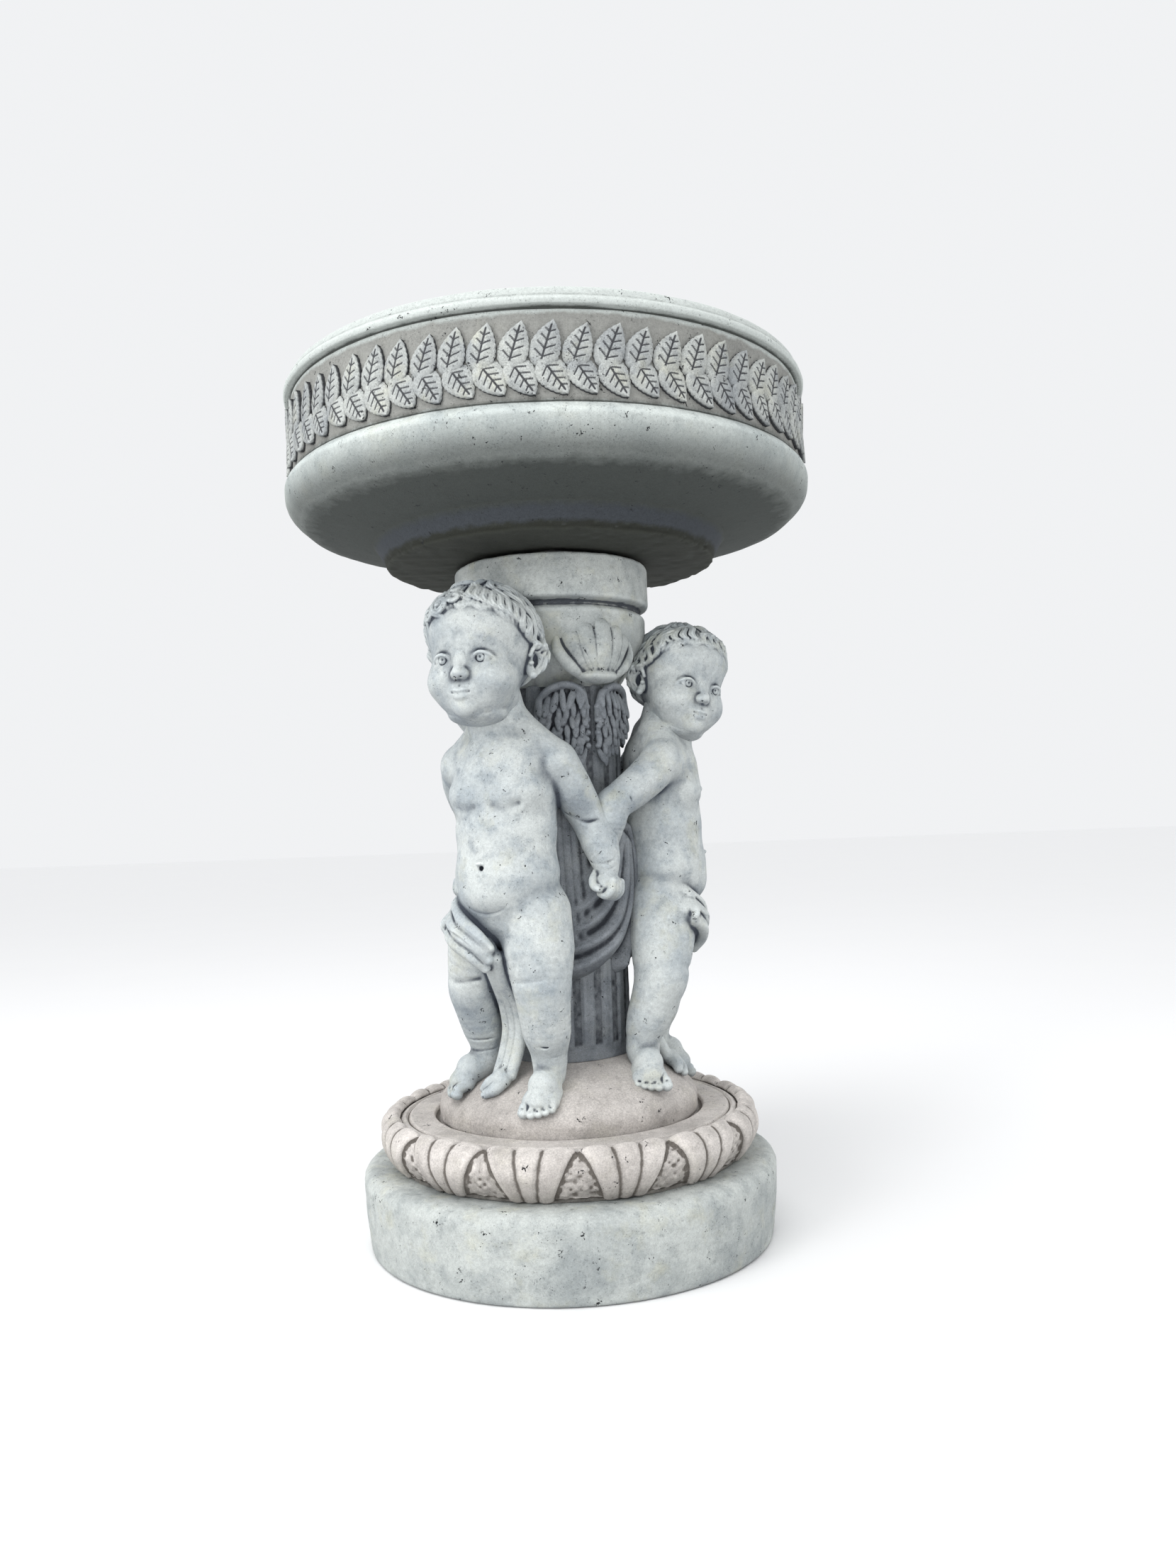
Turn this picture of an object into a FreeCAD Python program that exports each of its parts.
"""Cast-stone bird bath: a round plinth with a carved palmette moulding, a pedestal of three winged
children standing back to back round a fluted shaft, and a wide dish with a laurel frieze.

Millimetres, +Z up, the origin on the ground at the centre of the plinth, -Y towards the front.
"""
import FreeCAD, Part
import math
import os
import Sketcher

V = FreeCAD.Vector
ORIGIN = V(0, 0, 0)
SIDE = V(1, 0, 0)
FORWARD = V(0, -1, 0)
UP = V(0, 0, 1)
doc = FreeCAD.newDocument("BirdBath")

# ---- driving dimensions --------------------------------------------------------------------------
DIMENSIONS = {
    # plinth and its carved moulding
    "plinth_foot_radius": 201, "plinth_radius": 207, "plinth_height": 79, "plinth_round": 13,
    "moulding_foot_radius": 170, "moulding_belly_radius": 190, "moulding_belly_height": 108,
    "moulding_lower_bulge": 34, "moulding_crown_radius": 172, "moulding_crown_height": 129,
    "moulding_upper_bulge": 24, "ledge_radius": 159, "ledge_height": 122,
    # mound, shaft, capital and collar of the pedestal
    "mound_radius": 129, "mound_edge_height": 137, "mound_top_radius": 60, "mound_top_height": 180,
    "mound_dome": 130,
    "shaft_radius": 64, "shaft_top_height": 538, "flute_radius": 5, "flute_count": 24,
    "flute_bottom_height": 190, "flute_top_height": 500,
    "capital_foot_radius": 60, "capital_belly_radius": 94, "capital_belly_height": 586,
    "capital_top_height": 611, "capital_bulge": 60, "neck_groove_radius": 88,
    "neck_groove_depth": 3,
    "collar_radius": 98, "collar_bottom_height": 620, "collar_top_height": 664, "collar_round": 4,
    # basin
    "pad_radius": 14, "pad_circle_radius": 70, "pad_count": 3,
    "basin_bottom_height": 667, "foot_bottom_radius": 164, "foot_top_radius": 176,
    "foot_top_height": 689, "ridge_radius": 243, "ridge_height": 709, "shoulder_radius": 263,
    "shoulder_height": 735, "shoulder_bulge": 36, "step_height": 747, "step_width": 2,
    "frieze_radius": 255, "lip_bottom_height": 825, "lip_radius": 261, "lip_height": 836,
    "lip_round": 9, "rim_crest_radius": 256, "rim_height": 845, "rim_inner_radius": 234,
    "dish_wall_radius": 228, "dish_wall_height": 805, "dish_bulge": 110,
    "dish_floor_radius": 127, "dish_floor_height": 738,
    # laurel frieze
    "laurel_count": 62, "laurel_relief": 5, "laurel_half_width": 10, "laurel_lean": 22,
    "lower_laurel_height": 769, "lower_laurel_half_length": 16.5,
    "upper_laurel_height": 799, "upper_laurel_half_length": 12.5,
    # steel dowels that locate the castings on each other
    "dowel_radius": 8, "dowel_play": 0.5, "dowel_reach": 30, "dowel_anchor": 50,
    "dowel_end_gap": 4,
    # shells, wings and swags
    "shell_radius": 37, "shell_half_depth": 42, "shell_standoff": 68, "shell_height": 574,
    "wing_half_length": 36, "wing_half_width": 20, "wing_relief": 12, "wing_height": 500,
    "wing_angle": 38, "wing_lean": 10,
    "swag_outer_radius": 78, "swag_top_height": 402, "swag_bottom_height": 252, "swag_sweep": 66,
    "swag_dip_radius": 95,
    # children
    "child_turn": -30, "child_spacing": 120, "joint_swell": 0.7, "shaft_clearance": 0.05,
}

# A child's rounded masses: the long axis, then the centre's x, y and z, half the length along the
# axis, and the radius about it. The child faces -Y.
MASSES = {
    "head": (UP, 0, -122, 568, 66, 55),
    "chest": (SIDE, 0, -103, 437, 52, 44),
    "belly": (SIDE, 0, -107, 370, 53, 47),
    "hips": (SIDE, 0, -99, 330, 55, 39),
    "loincloth": (SIDE, -26, -120, 313, 31, 20),
    "left_foot": (FORWARD, 23, -119, 164, 29, 16.5),
    "right_foot": (FORWARD, -34, -106, 168, 29, 16.5),
}

# A child's limbs, as chains of joints: x, y, z and the limb's radius there.
LIMBS = {
    "neck": [(0, -108, 468, 29), (0, -114, 510, 27)],
    "left_leg": [(27, -98, 322, 33), (31, -107, 258, 26), (25, -107, 205, 20), (24, -103, 176, 17)],
    "right_leg": [(-27, -98, 322, 33), (-34, -116, 262, 25), (-34, -98, 205, 20),
                  (-34, -94, 180, 17)],
    "left_arm": [(45, -96, 453, 21), (60, -57, 417, 17), (78, -50, 366, 13), (79, -57, 347, 15)],
    "right_arm": [(-45, -96, 453, 21), (-70, -54, 420, 17), (-73, -56, 395, 14)],
}


def fill_sheet(name, rows):
    """A spreadsheet of aliases and their values."""
    made = doc.addObject("Spreadsheet::Sheet", name)
    for row, (alias, value) in enumerate(rows.items(), 1):
        made.set(f"A{row}", alias)
        made.set(f"B{row}", str(value))
        made.setAlias(f"B{row}", alias)
    return made


sheet = fill_sheet("Sizes", DIMENSIONS)
MASS_FIELDS = ("x", "y", "z", "half_length", "radius")
JOINT_FIELDS = ("x", "y", "z", "radius")
figure_rows = {f"{name}_{field}": value for name, (_, *values) in MASSES.items()
               for field, value in zip(MASS_FIELDS, values)}
figure_rows |= {f"{name}_{i}_{field}": value for name, joints in LIMBS.items()
                for i, joint in enumerate(joints) for field, value in zip(JOINT_FIELDS, joint)}
figure_sheet = fill_sheet("Figure", figure_rows)
doc.recompute()


def size(alias):
    """The value of one cell of the sheet."""
    return float(sheet.get(alias))


def figure_sizes(prefix, fields):
    """The values of a mass or a joint from the figure's sheet."""
    return [float(figure_sheet.get(f"{prefix}_{field}")) for field in fields]


def cell(expression):
    """An expression on the sheet's aliases, such as 'rim_height - 3', with the sheet's name added."""
    return " ".join(f"Sizes.{w}" if w in DIMENSIONS else w for w in expression.split())


def worth(expression):
    """The value of a sum of the sheet's aliases and numbers, such as 'rim_height - 3'."""
    total, sign = 0, 1
    for word in expression.split():
        if word in "+-":
            sign = 1 if word == "+" else -1
        else:
            total += sign * (size(word) if word in DIMENSIONS else float(word))
    return total


def bind(thing, **properties):
    """Ties an object's properties to expressions on the sheet."""
    for name, expression in properties.items():
        thing.setExpression(name, cell(expression))
    return thing


def spun(shape, degrees):
    """A copy of a shape, turned about the Z axis."""
    made = shape.copy()
    made.rotate(ORIGIN, UP, degrees)
    return made


def sculpted(label, shape, placement=None):
    """A document object for a shape that Part's own functions made."""
    made = doc.addObject("Part::Feature", label)
    made.Shape = shape
    if placement:
        made.Placement = placement
    return made


# ---- turned pieces -------------------------------------------------------------------------------
def origin_plane(body, role):
    return next(f for f in body.Origin.OriginFeatures if f.Role == role)


def close_profile(sketch, ends):
    """Joins each edge of a profile to the next."""
    for i, (edge, _, end) in enumerate(ends):
        following, start, _ = ends[(i + 1) % len(ends)]
        sketch.addConstraint(Sketcher.Constraint("Coincident", edge, end, following, start))


def hold_point(sketch, number, edge, end, radius, height):
    """Places the end of an edge at a radius and a height given by expressions on the sheet."""
    for kind, axis, expression in (("DistanceX", -2, radius), ("DistanceY", -1, height)):
        if expression == "0":
            sketch.addConstraint(Sketcher.Constraint("PointOnObject", edge, end, axis))
            continue
        held = sketch.addConstraint(
            Sketcher.Constraint(kind, -1, 1, edge, end, worth(expression)))
        sketch.renameConstraint(held, f"{kind}{number}")
        sketch.setExpression(f"Constraints.{kind}{number}", cell(expression))


def add_arc(sketch, start, end, radius, side):
    """Adds an arc that leads from start to end and bulges to their right (1) or left (-1), and
    returns its number."""
    chord = end - start
    outward = V(chord.y, -chord.x, 0).normalize() * side
    centre = (start + end) * 0.5 - outward * math.sqrt(radius ** 2 - (chord.Length / 2) ** 2)
    first, last = (start - centre, end - centre) if side == 1 else (end - centre, start - centre)
    begin = math.atan2(first.y, first.x)
    turn = (math.atan2(last.y, last.x) - begin) % (2 * math.pi)
    return sketch.addGeometry(
        Part.ArcOfCircle(Part.Circle(centre, UP, radius), begin, begin + turn), False)


def profile_sketch(body, points):
    """A closed profile in the XZ plane. A point is (radius, height), or (radius, height, bulge, side)
    where an arc of radius bulge leads to it from the point before, on its right (1) or left (-1)."""
    sketch = body.newObject("Sketcher::SketchObject", body.Name + "_profile")
    sketch.AttachmentSupport = [(origin_plane(body, "XZ_Plane"), "")]
    sketch.MapMode = "FlatFace"
    spots = [V(worth(p[0]), worth(p[1]), 0) for p in points]
    ends = []
    for i, point in enumerate(points):
        if len(point) == 2:
            line = Part.LineSegment(spots[i - 1], spots[i])
            ends.append((sketch.addGeometry(line, False), 1, 2))
            continue
        bulge, side = point[2:]
        arc = add_arc(sketch, spots[i - 1], spots[i], worth(bulge), side)
        ends.append((arc, 1, 2) if side == 1 else (arc, 2, 1))
        held = sketch.addConstraint(Sketcher.Constraint("Radius", arc, worth(bulge)))
        sketch.renameConstraint(held, f"Bulge{i}")
        sketch.setExpression(f"Constraints.Bulge{i}", cell(bulge))
    close_profile(sketch, ends)
    for i, (edge, _, end) in enumerate(ends):
        hold_point(sketch, i, edge, end, points[i][0], points[i][1])
    return sketch


def turned(label, points):
    """A body turned about the Z axis from a profile."""
    body = doc.addObject("PartDesign::Body", label)
    sketch = profile_sketch(body, points)
    doc.recompute()
    turn = body.newObject("PartDesign::Revolution", label + "_turn")
    turn.Profile = sketch
    turn.ReferenceAxis = (sketch, ["V_Axis"])
    turn.Angle = 360
    doc.recompute()
    return body


def round_rims(body, radius, heights):
    """Fillets the widest circular edge at each of these heights."""
    base = body.Tip
    wanted = []
    for height in heights:
        level = worth(height)
        rims = [(e.Curve.Radius, i) for i, e in enumerate(base.Shape.Edges, 1)
                if isinstance(e.Curve, Part.Circle) and abs(e.Curve.Center.z - level) < 0.01]
        wanted.append(f"Edge{max(rims)[1]}")
    fillet = body.newObject("PartDesign::Fillet", body.Name + "_round")
    fillet.Base = (base, wanted)
    bind(fillet, Radius=radius)
    doc.recompute()


def add_plinth():
    """The plain slab that stands on the ground."""
    body = turned("plinth", [
        ("0", "0"), ("plinth_foot_radius", "0"), ("plinth_radius", "plinth_height"),
        ("0", "plinth_height")])
    round_rims(body, "plinth_round", ["plinth_height"])


def add_moulding():
    """The ring of palmettes, as its turned outer form, with the ledge that the mound stands on and a
    blind bore for the lower dowel."""
    bore = "dowel_radius + dowel_play"
    bottom = "ledge_height - dowel_reach - dowel_end_gap"
    turned("palmette_moulding", [
        ("0", "plinth_height"), ("moulding_foot_radius", "plinth_height"),
        ("moulding_belly_radius", "moulding_belly_height", "moulding_lower_bulge", 1),
        ("moulding_crown_radius", "moulding_crown_height", "moulding_upper_bulge", 1),
        ("ledge_radius", "ledge_height"), (bore, "ledge_height"), (bore, bottom), ("0", bottom)])


def add_mound():
    """The domed ground under the children's feet, with the lower dowel's blind bore."""
    top = "ledge_height + dowel_anchor"
    turned("mound", [
        ("dowel_radius", "ledge_height"), ("mound_radius", "ledge_height"),
        ("mound_radius", "mound_edge_height"),
        ("mound_top_radius", "mound_top_height", "mound_dome", 1),
        ("0", "mound_top_height"), ("0", top), ("dowel_radius", top)])


def add_shaft():
    """The shaft, with shallow flutes cut round it."""
    body = turned("fluted_shaft", [
        ("0", "mound_top_height"), ("shaft_radius", "mound_top_height"),
        ("shaft_radius", "shaft_top_height"), ("0", "shaft_top_height")])
    sketch = body.newObject("Sketcher::SketchObject", "flute_profile")
    sketch.AttachmentSupport = [(origin_plane(body, "XY_Plane"), "")]
    sketch.MapMode = "FlatFace"
    bind(sketch, **{".AttachmentOffset.Base.z": "flute_bottom_height"})
    circle = sketch.addGeometry(
        Part.Circle(V(size("shaft_radius") + 1, 0, 0), UP, size("flute_radius")), False)
    sketch.addConstraint(Sketcher.Constraint("PointOnObject", circle, 3, -1))
    for kind, name, expression in (
            ("Radius", "flute", "flute_radius"), ("DistanceX", "reach", "shaft_radius + 1")):
        points = (circle,) if kind == "Radius" else (-1, 1, circle, 3)
        held = sketch.addConstraint(Sketcher.Constraint(kind, *points, worth(expression)))
        sketch.renameConstraint(held, name)
        sketch.setExpression(f"Constraints.{name}", cell(expression))
    doc.recompute()
    whole = body.Tip.Shape.Volume
    flute = body.newObject("PartDesign::Pocket", "flute")
    flute.Profile = sketch
    flute.Reversed = True
    bind(flute, Length="flute_top_height - flute_bottom_height")
    doc.recompute()
    pattern = body.newObject("PartDesign::PolarPattern", "flutes")
    pattern.Originals = [flute]
    pattern.Axis = (sketch, ["N_Axis"])
    pattern.Angle = 360
    bind(pattern, Occurrences="flute_count")
    body.Tip = pattern
    doc.recompute()
    if body.Shape.Volume > 0.999 * whole:
        raise RuntimeError("the flutes cut nothing")


def add_capital():
    """The bell over the shaft, the groove over it and the collar that carries the basin."""
    socket = "collar_top_height - dowel_anchor"
    body = turned("capital", [
        ("0", "shaft_top_height"), ("capital_foot_radius", "shaft_top_height"),
        ("capital_belly_radius", "capital_belly_height", "capital_bulge", 1),
        ("capital_belly_radius", "capital_top_height"),
        ("neck_groove_radius", "capital_top_height + neck_groove_depth"),
        ("neck_groove_radius", "collar_bottom_height - neck_groove_depth"),
        ("collar_radius", "collar_bottom_height"), ("collar_radius", "collar_top_height"),
        ("dowel_radius", "collar_top_height"), ("dowel_radius", socket), ("0", socket)])
    round_rims(body, "collar_round", ["collar_top_height"])


def add_basin():
    """The wide dish, with a blind bore in its foot for the upper dowel."""
    bore = "dowel_radius + dowel_play"
    socket = "basin_bottom_height + dowel_reach + dowel_end_gap"
    turned("basin", [
        (bore, "basin_bottom_height"), ("foot_bottom_radius", "basin_bottom_height"),
        ("foot_top_radius", "foot_top_height"), ("ridge_radius", "ridge_height"),
        ("shoulder_radius", "shoulder_height", "shoulder_bulge", 1),
        ("frieze_radius + step_width", "step_height"),
        ("frieze_radius", "step_height + step_width"),
        ("frieze_radius", "lip_bottom_height"), ("lip_radius", "lip_bottom_height + step_width"),
        ("lip_radius", "lip_height"), ("rim_crest_radius", "rim_height", "lip_round", 1),
        ("rim_inner_radius", "rim_height"), ("dish_wall_radius", "dish_wall_height"),
        ("dish_floor_radius", "dish_floor_height", "dish_bulge", -1), ("0", "dish_floor_height"),
        ("0", socket), (bore, socket)])


# ---- dowels and pads -----------------------------------------------------------------------------
def add_dowel(label, bottom):
    """A steel dowel, anchored in the pedestal and free in the casting over or under it."""
    dowel = doc.addObject("Part::Cylinder", label)
    bind(dowel, Radius="dowel_radius", Height="dowel_anchor + dowel_reach")
    bind(dowel, **{"Placement.Base.z": bottom})


def add_pads():
    """The bedding pads between the collar and the basin, in one node."""
    thickness = worth("basin_bottom_height - collar_top_height")
    place = V(0, -size("pad_circle_radius"), size("collar_top_height"))
    pad = Part.makeCylinder(size("pad_radius"), thickness, place)
    count = int(size("pad_count"))
    sculpted("bedding_pads", Part.makeCompound([spun(pad, i * 360 / count) for i in range(count)]))


# ---- laurel frieze -------------------------------------------------------------------------------
def tile(inner, relief, level, half_length, half_width, lean):
    """A leaning ellipse at the front of a drum of radius inner, standing off it by its relief. A
    positive lean takes its top to the right."""
    blade = Part.Ellipse(ORIGIN, half_length, half_width)
    prism = Part.Face(Part.Wire(blade.toShape())).extrude(V(0, 0, inner + relief))
    prism.rotate(ORIGIN, UP, 90 - lean)
    prism.rotate(ORIGIN, SIDE, 90)
    prism.translate(V(0, 0, level))
    foot, tall = V(0, 0, level - 2 * half_length), 4 * half_length
    tube = Part.makeCylinder(inner + relief, tall, foot).cut(Part.makeCylinder(inner, tall, foot))
    return prism.common(tube).Solids[0]


def laurel_row(label, height, half_length, lean, offset):
    """One row of leaves. The offset shifts the row by part of a leaf's spacing."""
    leaf = tile(size("frieze_radius"), size("laurel_relief"), size(height), size(half_length),
                size("laurel_half_width"), lean)
    count = int(size("laurel_count"))
    leaves = [spun(leaf, (i + offset) * 360 / count) for i in range(count)]
    sculpted(label, Part.makeCompound(leaves))


# ---- children ------------------------------------------------------------------------------------
def ovoid(axis, x, y, z, half_length, radius):
    """An egg-like solid, an ellipse turned about its axis."""
    long, wide = max(half_length, radius), min(half_length, radius)
    ellipse = Part.Ellipse(ORIGIN, long, wide)
    turning = SIDE if half_length >= radius else V(0, 1, 0)
    start = 0 if half_length >= radius else -math.pi / 2
    half = Part.Wire([ellipse.toShape(start, start + math.pi),
                      Part.makeLine(turning * half_length, turning * -half_length)])
    made = Part.Face(half).revolve(ORIGIN, turning, 360)
    made = Part.Solid(made) if made.ShapeType == "Shell" else made.Solids[0]
    return made.transformed(FreeCAD.Placement(V(x, y, z), FreeCAD.Rotation(turning, axis)).Matrix)


def limb(joints):
    """Tapered lengths between joints, with a ball a little proud at each joint."""
    pieces = []
    for (ax, ay, az, ar), (bx, by, bz, br) in zip(joints, joints[1:]):
        start, end = V(ax, ay, az), V(bx, by, bz)
        pieces.append(Part.makeCone(ar, br, (end - start).Length, start, end - start))
    return pieces + [Part.makeSphere(r + size("joint_swell"), V(x, y, z)) for x, y, z, r in joints]


def child_form():
    """One standing child facing -Y, before it is trimmed to what it stands against."""
    forms = [ovoid(axis, *figure_sizes(name, MASS_FIELDS)) for name, (axis, *_) in MASSES.items()]
    for name, joints in LIMBS.items():
        forms += limb([figure_sizes(f"{name}_{i}", JOINT_FIELDS) for i in range(len(joints))])
    return forms[0].multiFuse(forms[1:])


def largest(shape):
    """The largest solid of a shape: trimming can leave slivers."""
    return max(shape.Solids, key=lambda solid: solid.Volume)


def shell_form():
    """The upturned shell between two heads."""
    return ovoid(FORWARD, 0, -size("shell_standoff"), size("shell_height"),
                 size("shell_half_depth"), size("shell_radius"))


def wing_form(side):
    """One folded wing lying against the shaft, beside the child's left (1) or right (-1) shoulder."""
    wing = tile(size("shaft_radius"), size("wing_relief"), size("wing_height"),
                size("wing_half_length"), size("wing_half_width"), side * size("wing_lean"))
    return spun(wing, side * size("wing_angle"))


def swag_form():
    """The cloth that hangs between two children, dipping in the middle."""
    low, high = size("swag_bottom_height"), size("swag_top_height")
    sweep, outer = size("swag_sweep"), size("swag_outer_radius")
    band = Part.makeCylinder(outer, high - low, V(0, 0, low), UP, sweep)
    band.rotate(ORIGIN, UP, -90 - sweep / 2)
    dip = size("swag_dip_radius")
    return band.common(Part.makeCylinder(dip, 2 * outer, V(0, 0, low + dip), V(0, -1, 0)))


def add_figures():
    """The children, shells, wings and swags, each trimmed so that no two share space. A child, its
    wings, and the shell and swag on its left are one third of the ring."""
    third = size("child_spacing")
    core = Part.makeCylinder(worth("shaft_radius + shaft_clearance"), size("shaft_top_height"))
    backing = [core, doc.getObject("mound").Shape, doc.getObject("capital").Shape]
    whole_child = child_form()
    child = largest(whole_child.cut(backing + [spun(whole_child, -third)]))
    pair = [child, spun(child, third)]
    shell = largest(spun(shell_form(), third / 2).cut(backing + pair))
    swag = largest(spun(swag_form(), third / 2).cut(backing + pair))
    wings = []
    for side in (-1, 1):
        near = [child, spun(child, side * third), shell, spun(shell, -third)]
        wings.append(largest(wing_form(side).cut(backing + near)))
    pieces = {"child": child, "shell": shell, "wings": Part.makeCompound(wings), "swag": swag}
    for number, place in enumerate(PLACES):
        turn = FreeCAD.Placement(ORIGIN, FreeCAD.Rotation(UP, size("child_turn") + third * number))
        for name, shape in pieces.items():
            sculpted(f"{name}_{place}", shape, turn)


# ---- the assembly --------------------------------------------------------------------------------
PLACES = ("front", "right", "back")
LABELS = ["plinth", "palmette_moulding", "mound", "fluted_shaft", "capital", "basin",
          "pedestal_dowel", "basin_dowel", "bedding_pads", "laurel_lower", "laurel_upper"]
LABELS += [f"{name}_{place}" for name in ("child", "shell", "wings", "swag") for place in PLACES]


def build():
    """Makes every sub-part."""
    add_plinth()
    add_moulding()
    add_mound()
    add_shaft()
    add_capital()
    add_basin()
    add_dowel("pedestal_dowel", "ledge_height - dowel_reach")
    add_dowel("basin_dowel", "collar_top_height - dowel_anchor")
    add_pads()
    lean = size("laurel_lean")
    laurel_row("laurel_lower", "lower_laurel_height", "lower_laurel_half_length", -lean, 0)
    laurel_row("laurel_upper", "upper_laurel_height", "upper_laurel_half_length", lean, 0.5)
    add_figures()
    doc.recompute()


def write():
    """Checks every object and writes one STEP file for each sub-part."""
    for thing in doc.Objects:
        if {"Invalid", "Error"} & set(thing.State):
            raise RuntimeError(f"{thing.Label} failed: {thing.State}")
    shapes = {label: doc.getObjectsByLabel(label)[0].Shape for label in LABELS}
    for label, shape in shapes.items():
        if shape.isNull() or not shape.isValid() or not shape.Solids:
            raise RuntimeError(f"{label} has no valid solid")
    os.makedirs("parts", exist_ok=True)
    for label, shape in shapes.items():
        shape.exportStep(f"parts/{label}.step")
        print(f"{label}: {len(shape.Solids)} solid(s), {shape.Volume / 1000:.1f} cm3")


build()
write()
